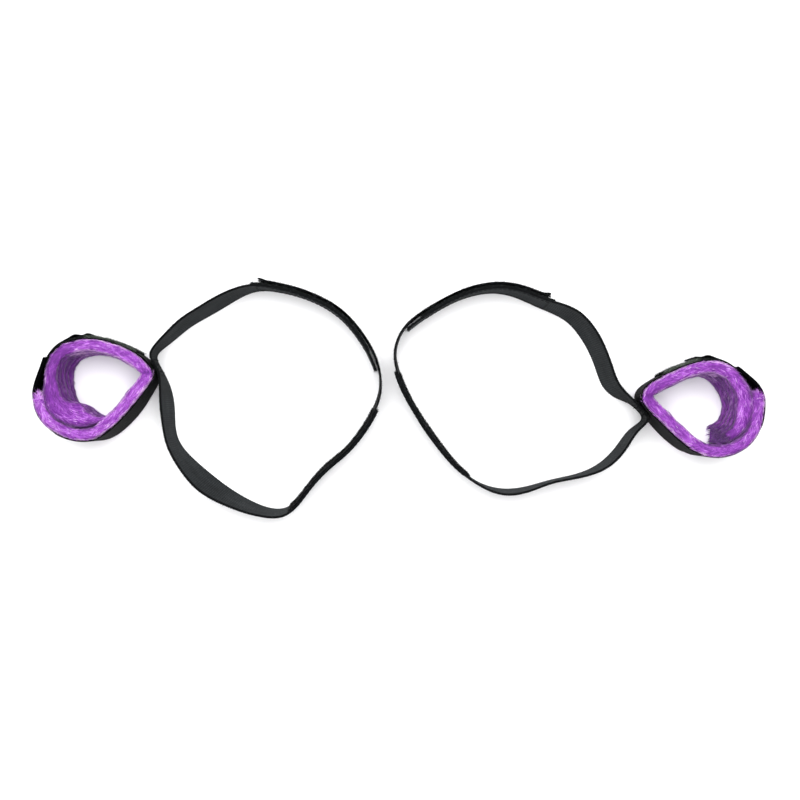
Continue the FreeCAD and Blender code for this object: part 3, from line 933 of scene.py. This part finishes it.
        # Painted shade over the last stretch of the band before its inner end.
        reach = 9 if kind == "rim" else 26
        tone -= self.inner_end["shade"] * (1 - smooth(self.end - along, reach * 0.2, reach))
        swing = 0.26 * ripple(along / 9, girth / 5, self.seed + 5) + 0.3 * (clump - 0.5)
        heading = unit_vectors(onward * np.cos(swing)[:, None] + around * np.sin(swing)[:, None])
        tufted = np.exp(-((along - self.start) / 5.0) ** 2)[:, None]
        burst = unit_vectors(-onward + 0.8 * random.normal(0, 1, (count, 3)))
        heading = unit_vectors(heading * (1 - tufted) + burst * tufted)
        splay = normals + (outward * np.sign(depth)[:, None]) * edge[:, None] * 0.5
        normals = unit_vectors(splay)
        tone += 0.28 * tufted[:, 0]
        long = length * (1 + 0.3 * tufted[:, 0])
        before_tip = self.tip - along
        at_crease = (kind == "rim") & (before_tip > -0.3) & (before_tip < length)
        long = np.where(at_crease, np.maximum(before_tip, 0.9), long)
        return fibres(name, roots[keep], heading[keep], normals[keep], long[keep], width,
                      lift, 0.24, np.clip(tone, 0.02, 1)[keep], plush_hair, seed + 1)


def end_tuft(plush, name, row, direction, tone, seed):
    """Ragged hair over the cut face at one end of the band."""
    random = np.random.default_rng(seed)
    count = 620
    column = random.integers(0, plush.FINE // 2, count)
    share = random.uniform(0, 1, count)[:, None]
    ring = plush.grid[row]
    roots = ring[column] * (1 - share) + ring[-column - 1] * share
    onward = plush.tangent[row][column] * direction
    keep = roots[:, 2] > 1.5 * MM
    heading = unit_vectors(onward + 0.9 * random.normal(0, 1, (count, 3)))
    tones = np.clip(tone + random.normal(0, 0.16, count), 0.02, 1)
    return fibres(name, roots[keep] - onward[keep] * 0.6 * MM, heading[keep], onward[keep],
                  2.6, 0.3, 0.7, 0.5, tones[keep],
                  plush_hair, seed + 1)


HAIR_ZONES = [
    ("rim", 5.6, 3.5, 0.30, 0.27),
    ("inner", 1.8, 4.2, 0.24, 0.32),
    ("outer", 3.0, 3.2, 0.46, 0.26),
]


def put(obj, body, slot_name=None, *nodes):
    """Rides obj on a body and hides the CAD nodes that it stands for."""
    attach(obj, body)
    finish_piece(obj, slot_name, *nodes)
    return obj


def finish_piece(obj, slot_name, *nodes):
    """Hides the CAD nodes that obj stands for; slot_name is not used."""
    if nodes:
        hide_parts(*nodes)


def bend(obj, bodies, course, start, end, depth, slot_name=None, *nodes):
    """Bakes obj's world transform into its mesh and hides the CAD nodes that it stands for; bodies is
    not used.
    """
    start_point = course.place(start, 0, depth)[0]
    end_point = course.place(end, 0, depth)[0]
    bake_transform(obj)
    finish_piece(obj, slot_name, *nodes)
    return obj


def build_plush(prefix, unit, course, seed):
    """One plush band, in three stretches: on the flap, over the fold and on the fixed body."""
    start = course.at(PLUSH_START) - unit["longer_start"]
    cut = course.at(unit["flap_cut"])
    end = course.total + unit["inner_end"]["longer"]
    reach = FOLD_REACH
    plush = Plush(prefix, course, unit, start, end, seed)
    body = prefix + "_unit"
    flap = prefix + "_cuff_flap"
    parts = {
        "flap": (start - 1, cut - reach),
        "bend": (cut - reach, cut + reach),
        "fixed": (cut + reach, end + 1),
    }
    nodes = {
        "flap": [prefix + "_cuff_lining_flap", prefix + "_cuff_foam_flap"],
        "bend": [],
        "fixed": [prefix + "_cuff_lining", prefix + "_cuff_foam"],
    }
    for number, (part, (low, high)) in enumerate(parts.items()):
        caps = (part == "flap", part == "fixed")
        margin = 1.0
        slab = plush.slab("%s_plush_%s" % (prefix, part), low - margin * (part != "flap"),
                          high + margin * (part != "fixed"), caps)
        pieces = [(slab, nodes[part])]
        for step, zone in enumerate(HAIR_ZONES):
            name = "%s_hair_%s_%s" % (prefix, part, zone[0])
            hair_seed = seed + 100 * number + 10 * step
            made = plush.hair(name, max(low, start + 0.3), min(high, end - 0.2), zone, hair_seed)
            pieces.append((made, []))
        if part == "flap":
            tuft = end_tuft(plush, prefix + "_tuft_outer", 0, -1, 0.62, seed + 400)
            pieces.append((tuft, []))
        if part == "fixed":
            # The inner end's tuft is given a low tone as painted shade.
            tuft = end_tuft(plush, prefix + "_tuft_inner", -1, 1, 0.24, seed + 410)
            pieces.append((tuft, []))
        for piece, stands_for in pieces:
            if part == "bend":
                bend(piece, (body, flap), course, cut + reach - 2.5, cut - reach + 2.5, 0,
                     "purple_plush")
            else:
                put(piece, flap if part == "flap" else body, "purple_plush", *stands_for)


# ---------------------------------------------------------------- tapes, stitches and ends

def stitch_rows(name, course, span, rows, columns, depth, stitch=TAPE_STITCH):
    """Stitching on a tape: rows run along it at given heights, columns run up it."""
    length, gap = stitch
    places = []
    for height in rows:
        steps = np.arange(span[0] + length / 2, span[1], length + gap)
        places += [(along, height, 0) for along in steps]
    for along in columns:
        steps = np.arange(rows[0] + length / 2, rows[-1], length + gap)
        places += [(along, height, 1) for height in steps]
    places = np.array(places)
    onward, up, outward = course.axes(places[:, 0], places[:, 1])
    side = np.sign(depth)
    centres = course.place(places[:, 0], places[:, 1], depth)
    axes = np.where(places[:, 2:] > 0.5, up, onward)
    return capsules(name, centres, axes, outward * side, length, 0.28, sewing)


def nap(name, course, span, heights, depth, facing, density, length, tone, material, seed, rise,
        sway=1.2, width=0.22, lift=None):
    """Short stiff hair on one face of a tape: the loops of pile tape or the hooks of hook tape."""
    random = np.random.default_rng(seed)
    count = int((span[1] - span[0]) * (heights[1] - heights[0]) * density)
    along = random.uniform(span[0], span[1], count)
    height = random.uniform(heights[0], heights[1], count)
    onward, up, outward = course.axes(along, height)
    if lift is not None:
        depth = depth + lift(along)
    roots = course.place(along, height, depth)
    tones = tone + 0.3 * ripple(along / 12, height / 8, seed) + random.normal(0, 0.14, count)
    turn = random.uniform(0, 2 * np.pi, count)[:, None]
    heading = onward * np.cos(turn) + up * np.sin(turn)
    return fibres(name, roots, heading, outward * facing, length, width, rise,
                  sway, np.clip(tones, 0, 1), material, seed + 1)


def fray(name, course, along, heights, depths, direction, count, length, material, seed):
    """Loose yarn ends at the cut end of a tape; direction is 1 onward and -1 back."""
    random = np.random.default_rng(seed)
    height = random.uniform(heights[0], heights[1], count)
    depth = random.uniform(depths[0], depths[1], count)
    place = np.full(count, float(along)) - direction * 0.5
    onward, up, outward = course.axes(place, height)
    roots = course.place(place, height, depth)
    heading = unit_vectors(onward * direction + 0.35 * random.normal(0, 1, (count, 3)))
    return fibres(name, roots, heading, unit_vectors(outward + up * 0.4), length, 0.3, 0.15,
                  0.35, random.uniform(0.1, 0.9, count), material, seed + 1)


def edge_fuzz(name, course, span, heights, depths, count, length, material, seed, lift=None):
    """Fine lint standing out of both edges of a tape."""
    random = np.random.default_rng(seed)
    along = random.uniform(span[0], span[1], count)
    upper = random.uniform(0, 1, count) < 0.8
    height = np.where(upper, heights[1] - 0.1, heights[0] + 0.3)
    depth = random.uniform(depths[0], depths[1], count)
    onward, up, outward = course.axes(along, height)
    lifted = depth if lift is None else depth + lift(along)
    roots = course.place(along, height, lifted)
    facing = np.where(upper, 1.0, -1.0)[:, None]
    side = np.sign(depth - (depths[0] + depths[1]) / 2)[:, None]
    heading = unit_vectors(onward * random.choice([-1.0, 1.0], count)[:, None]
                           + outward * side * random.uniform(0, 1.2, count)[:, None])
    return fibres(name, roots, heading, up * facing, length, 0.16, 0.5, 0.5,
                  random.uniform(0, 1, count), material, seed + 1)


def loose_thread(name, course, along, height, depth, reach, seed, material, radius):
    """A curly thread end that comes out of a seam."""
    random = np.random.default_rng(seed)
    base = course.place(along, height, depth)[0]
    onward, up, outward = [v[0] for v in course.axes(np.array([along]), np.array([height]))]
    side = np.sign(depth) or 1.0
    steps = np.linspace(0, 1, 14)
    sweep = random.uniform(-1, 1)
    points = []
    for share in steps:
        out = reach * share * side
        curl = reach * 0.35 * np.sin(share * random.uniform(2.4, 2.6) * 2)
        points.append(base + (outward * out + onward * curl * sweep
                              + up * reach * 0.25 * share ** 2 * sweep) * MM)
    return thread(name, points, radius, material)


def adder(prefix):
    """A function that makes one piece of a unit and rides it on a body, hiding its CAD node where it
    stands for one; its slot name is not used. Every name is given without the unit's prefix."""
    def add(body, slot_name, node, build, name, *details, **more):
        piece = build("%s_%s" % (prefix, name), *details, **more)
        nodes = ["%s_%s" % (prefix, node)] if node else []
        return put(piece, "%s_%s" % (prefix, body), slot_name, *nodes)
    return add


def build_cuff_straps(prefix, unit, course, seed):
    """The backing, pile tape and hook tape of one cuff, with their ends, lint and stitches."""
    add = adder(prefix)
    cut = course.at(unit["flap_cut"])
    reach = FOLD_REACH
    band = (3.0, 47.0)
    narrow = (5.0, 45.0)
    tape_relief = ribs(1.1, 0.05, 0.08, *narrow)
    hidden = course.between(unit["hidden_backing"])

    def draw_in(along):
        fades = smooth(along, hidden[0] - 6, hidden[0]) * smooth(-along, -hidden[1] - 6, -hidden[1])
        return -0.7 * fades

    drawn = {"relief": ribs(1.3, 0.05, 0.1, *band), "lift": draw_in}
    inner_stop = course.total - 68
    add("unit", "black_backing", "cuff_webbing", tape, "backing_fixed", course,
        (cut + reach, inner_stop), band, BACKING, backing, cut=0.5, seed=seed, **drawn)
    middle = tape(prefix + "_backing_bend", course, (cut - reach - 0.4, cut + reach + 0.4), band,
                  BACKING, backing, **drawn)
    bend(middle, (prefix + "_unit", prefix + "_cuff_flap"), course, cut + reach - 2.5,
         cut - reach + 2.5, 0, "black_backing")
    tucked = cuff_course(unit, unit["flap_tuck"])
    flap_cut = tucked.at(unit["flap_cut"])
    add("cuff_flap", "black_backing", "cuff_webbing_flap", tape, "backing_flap", tucked,
        (0, flap_cut - reach), band, BACKING, backing, cut=0.6, seed=seed + 1, **drawn)

    root_end = tucked.at(unit["hook_root_end"])
    add("cuff_flap", "hook_tape", "cuff_hook_root", tape, "flap_hook", tucked, (0, root_end),
        narrow, FLAP_HOOK, hook_back, relief=tape_relief, cut=0.6, seed=seed + 2)
    add("cuff_flap", "hook_tape", None, nap, "flap_hooks", tucked, (1, root_end - 1), (6, 44),
        FLAP_HOOK[0], -1, 1.6, 1.3, 0.4, hook_hair, seed + 3, 1.2)
    add("cuff_flap", "black_thread", "cuff_tab_stitching", stitch_rows, "tab_stitches", tucked,
        (4, root_end - 3), (6.0, 44.0), (4.0, root_end - 3), BACKING[1] + 0.1)

    pile_span = course.between(unit["cuff_pile"])
    tab_span = course.between(unit["tab"])
    open_pile = (pile_span[0], tab_span[0] + 2)
    lint_depths = (5.3, 6.6)
    add("unit", "pile_tape", "cuff_pile_tape", tape, "cuff_pile", course, pile_span, narrow,
        CUFF_PILE, pile_back, relief=tape_relief, cut=0.5, seed=seed + 4)
    add("unit", "pile_tape", None, nap, "cuff_pile_loops", course, open_pile, (5.2, 44.9),
        CUFF_PILE[1] - 0.15, 1, 3.2, 1.7, 0.45, pile_hair, seed + 5, 0.55, width=0.3)
    add("unit", "pile_tape", None, edge_fuzz, "cuff_pile_fuzz", course, open_pile, narrow,
        lint_depths, 900, 1.6, pile_hair, seed + 6)
    add("unit", "pile_tape", None, edge_fuzz, "cuff_pile_lint", course,
        (tab_span[0], tab_span[1] - 8), narrow, lint_depths, 300, 1.0, black_hair, seed + 16)

    kink = tab_span[0] + unit["tab_kink"]

    def tab_lift(along):
        flick = 1.5 * (1 - smooth(along, tab_span[0], tab_span[0] + 4))
        return flick + 1.6 * np.exp(-((along - kink) / 3.4) ** 2)

    add("cuff_tab", "hook_tape", "cuff_tab", tape, "tab_tape", course, tab_span, narrow, TAB,
        hook_back, relief=tape_relief, cut=0.7, seed=seed + 7, lift=tab_lift)
    add("cuff_tab", "hook_tape", None, nap, "tab_hooks", course, (tab_span[0] + 0.5, tab_span[1]),
        (5.5, 44.5), TAB[0], -1, 1.6, 1.1, 0.4, hook_hair, seed + 8, 1.2, lift=tab_lift)
    add("cuff_tab", "hook_tape", None, fray, "tab_fray", course, tab_span[0], (7, 44.5),
        (TAB[0] + 1.0, TAB[1] + 1.2), -1, 150, 2.4, black_hair, seed + 9)
    bridge(prefix, course, tucked, narrow, tab_span[1])

    for part, body, line, low, high in (("fixed", "unit", course, cut + reach, inner_stop),
                                        ("flap", "cuff_flap", tucked, 1, flap_cut - reach)):
        add(body, "black_backing", None, edge_fuzz, "backing_lint_" + part, line, (low, high),
            band, BACKING, int((high - low) * 1.5), 1.0, black_hair, seed + 11, draw_in)
    add("cuff_flap", "black_backing", None, fray, "flap_fray", tucked, 0.2, (5, 46), BACKING, -1,
        80, 2.0, black_hair, seed + 12)


def bridge(prefix, course, tucked, heights, tab_end):
    """The short free stretch of hook tape between the flap's sewn end and the tab."""
    count = 25
    first = tucked.place(np.array([2.0, 0.4]), 0, FLAP_HOOK[0] + 0.5)[:, :2] / MM
    last = course.place(np.array([tab_end - 0.4, tab_end - 2.0]), 0, TAB[0] + 0.5)[:, :2] / MM
    step_out = first[1] - first[0]
    step_in = last[1] - last[0]
    gap = np.linalg.norm(last[0] - first[1])
    step_out = step_out / np.linalg.norm(step_out) * gap
    step_in = step_in / np.linalg.norm(step_in) * gap
    share = np.linspace(0, 1, count)[:, None]
    line = (first[1] * (2 * share ** 3 - 3 * share ** 2 + 1)
            + step_out * (share ** 3 - 2 * share ** 2 + share)
            + last[0] * (3 * share ** 2 - 2 * share ** 3)
            + step_in * (share ** 3 - share ** 2))
    onward = unit_vectors(np.gradient(line, axis=0))
    outward = np.column_stack([onward[:, 1], -onward[:, 0]])
    inside = course.table[:, 0:2].mean(axis=0)
    if np.dot(outward[count // 2], line[count // 2] - inside) < 0:
        outward = -outward
    points, normals, girths = stadium(heights[0], heights[1], (-0.5, 0.5), 14)
    grid = np.zeros((count, len(points), 3))
    grid[..., :2] = line[:, None] + outward[:, None] * points[None, :, 1:2]
    grid[..., 2] = points[None, :, 0]
    steps = np.concatenate([[0], np.cumsum(np.linalg.norm(np.diff(line, axis=0), axis=1))])
    obj = tube(prefix + "_tab_bend", grid * MM, steps, girths, hook_back, -course.side)
    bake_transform(obj)
    finish_piece(obj, "hook_tape")


def build_loop(prefix, unit, seed):
    """One webbing loop, its hook and pile tapes, and their ends, lint, stitches and threads."""
    add = adder(prefix)
    course = loop_course(unit, seed)
    full = (0.0, WEB_HEIGHT)
    inset = (1.0, WEB_HEIGHT - 1.0)
    tape_relief = ribs(1.1, 0.05, 0.08, *inset)
    cut = course.at(unit["tail_cut"])
    reach = PEEL_REACH
    hook_start = course.at(unit["hook_start"])
    tail_end = course.at(unit["tail_end"])
    web_span = (0.0, course.at(unit["webbing_end"]))
    pile_span = course.between(unit["loop_pile"])
    hook_span = (hook_start, cut - reach)
    tail_span = (cut + reach, tail_end)
    low, high = course.between(unit["junction"])
    # The last setting is painted shade, darkening the webbing around the junction.
    webbing = woven(prefix + "_webbing", ((8, 9, 10), (31, 34, 36), (60, 64, 66)), 1.5, 0.03,
                    (0.0016, 0.0354), 0.5, ((low + high) / 2, 26.0, 0.5))

    add("unit", "black_webbing", "loop_webbing", tape, "loop_strap", course, web_span, full, WEB,
        webbing, step=0.42, across=24, relief=ribs(1.5, 0.07, 0.14, *full), cut=0.5, seed=seed)
    add("unit", "pile_tape", "loop_pile_tape", tape, "loop_pile", course, pile_span, inset,
        LOOP_PILE, pile_back, relief=tape_relief, cut=0.4, seed=seed + 1)
    add("unit", "pile_tape", None, nap, "loop_pile_loops", course, pile_span, (1.3, 35.9),
        LOOP_PILE[1] - 0.2, 1, 1.6, 1.2, 0.3, pile_hair, seed + 2, 0.4, width=0.26)
    add("unit", "hook_tape", "loop_hook_tape", tape, "loop_hook", course, hook_span, inset,
        LOOP_HOOK, hook_back, relief=tape_relief, cut=0.5, seed=seed + 3)
    middle = tape(prefix + "_loop_hook_bend", course, (cut - reach - 0.4, cut + reach + 0.4), inset,
                  LOOP_HOOK, hook_back, relief=tape_relief)
    bend(middle, (prefix + "_unit", prefix + "_loop_tail"), course, cut - reach + 2,
         cut + reach - 2, 0, "hook_tape")

    def tail_lift(along):
        return 1.3 * smooth(along, tail_end - 6, tail_end)

    add("loop_tail", "hook_tape", "loop_hook_tail", tape, "loop_tail_hook", course, tail_span,
        inset, LOOP_HOOK, hook_back, relief=tape_relief, cut=0.9, seed=seed + 4, lift=tail_lift)
    hook_nap = ((1.5, 35.5), LOOP_HOOK[0], -1, 1.3)
    add("unit", "hook_tape", None, nap, "loop_hooks", course, (hook_start + 1, web_span[1]),
        *hook_nap, 1.3, 0.4, hook_hair, seed + 5, 1.2)
    add("loop_tail", "hook_tape", None, nap, "tail_hooks", course, (cut + reach, tail_end - 0.5),
        *hook_nap, 1.0, 0.4, hook_hair, seed + 6, 1.2, lift=tail_lift)

    rows = (4.2, WEB_HEIGHT - 4.2)
    hook_seam = (hook_start + 3, web_span[1] - 3)
    pile_seam = (pile_span[0] + 3, pile_span[1] - 3)
    patch = [low + (high - low) * k / 3 for k in range(4)]
    seams = [
        ("hook", "loop_hook", hook_seam, hook_seam, WEB[1] + 0.12, TAPE_STITCH),
        ("pile", "loop_pile", pile_seam, pile_seam, WEB[0] - 0.12, TAPE_STITCH),
        ("junction", "junction", (low, high), patch, WEB[0] - 0.12, PATCH_STITCH),
    ]
    for label, node, span, columns, depth, stitch in seams:
        add("unit", "black_thread", node + "_stitching", stitch_rows, label + "_stitches", course,
            span, rows, columns, depth, stitch)

    fringe = [
        ("inner_end", "unit", 0.2, full, WEB, -1, 120, 2.4, black_hair),
        ("outer_end", "unit", web_span[1], full, WEB, 1, 120, 2.2, black_hair),
        ("hook_end", "unit", hook_start, inset, LOOP_HOOK, -1, 90, 1.8, black_hair),
        ("pile_end", "unit", pile_span[1], inset, LOOP_PILE, 1, 90, 1.8, pile_hair),
        ("tail_end", "loop_tail", tail_end, inset, LOOP_HOOK, 1, 110, 2.6, black_hair),
    ]
    for number, (label, body, *details) in enumerate(fringe):
        add(body, None, None, fray, "fray_" + label, course, *details, seed + 20 + number)

    lint = [
        ("loop", "unit", "black_webbing", (2, web_span[1]), full, WEB, 1500, 0.9),
        ("hook", "unit", "hook_tape", hook_span, inset, LOOP_HOOK, 900, 1.3),
        ("pile", "unit", "pile_tape", pile_span, inset, LOOP_PILE, 700, 1.3),
        ("tail", "loop_tail", "hook_tape", tail_span, inset, LOOP_HOOK, 300, 1.4),
    ]
    for number, (label, body, slot_name, *details) in enumerate(lint):
        add(body, slot_name, None, edge_fuzz, label + "_lint", course, *details, black_hair,
            seed + 30 + number)

    threads = [(0.0, 35.5, 3.4), (0.35, 35.0, 2.4), (0.9, 35.5, 3.6)]
    for number, (share, height, out) in enumerate(threads):
        add("unit", "black_thread", None, loose_thread, "junction_thread_%d" % (number + 1),
            course, low + (high - low) * share, height, WEB[0] - 0.1, out, seed + 40 + number,
            sewing, 0.34)


for number, (prefix, unit) in enumerate(UNITS.items()):
    cuff_line = cuff_course(unit)
    build_plush(prefix, unit, cuff_line, 1000 + 500 * number)
    build_cuff_straps(prefix, unit, cuff_line, 3000 + 500 * number)
    build_loop(prefix, unit, 5000 + 500 * number)

# ---------------------------------------------------------------- stage, light and camera

floor_mesh = bpy.data.meshes.new("floor")
floor_mesh.from_pydata([(-3, -3, 0), (3, -3, 0), (3, 3, 0), (-3, 3, 0)], [], [(0, 1, 2, 3)])
floor = bpy.data.objects.new("floor", floor_mesh)
bpy.context.scene.collection.objects.link(floor)
floor.location.z = -0.0002
paper = Surface("paper", 0.9)
paper.shader["Base Color"].default_value = (0.93, 0.93, 0.94, 1)
floor_mesh.materials.append(paper.material)


def area_light(name, place, size, power):
    """A rectangular light that faces the middle of the floor."""
    data = bpy.data.lights.new(name, "AREA")
    data.shape = "RECTANGLE"
    data.size = size[0]
    data.size_y = size[1]
    data.energy = power
    light = bpy.data.objects.new(name, data)
    light.location = place
    light.rotation_mode = "QUATERNION"
    light.rotation_quaternion = (Vector((0, 0, 0)) - Vector(place)).to_track_quat("-Z", "Y")
    bpy.context.scene.collection.objects.link(light)


area_light("key", (0.0, 0.5, 1.6), (1.5, 0.7), 31)
area_light("fill", (0.0, -0.15, 1.7), (1.0, 0.7), 16)

world = bpy.data.worlds.new("studio")
world.use_nodes = True
background = world.node_tree.nodes["Background"].inputs
background["Color"].default_value = (1, 1, 1, 1)
background["Strength"].default_value = 0.6
bpy.context.scene.world = world
bpy.context.scene.view_settings.view_transform = "Standard"

camera_data = bpy.data.cameras.new("camera")
camera_data.sensor_width = 36
camera_data.lens = 62.5
camera_data.clip_start = 0.01
camera = bpy.data.objects.new("camera", camera_data)
camera.location = (SHIFT[0] * MM, SHIFT[1] * MM, 1.0)
bpy.context.scene.collection.objects.link(camera)
bpy.context.scene.camera = camera
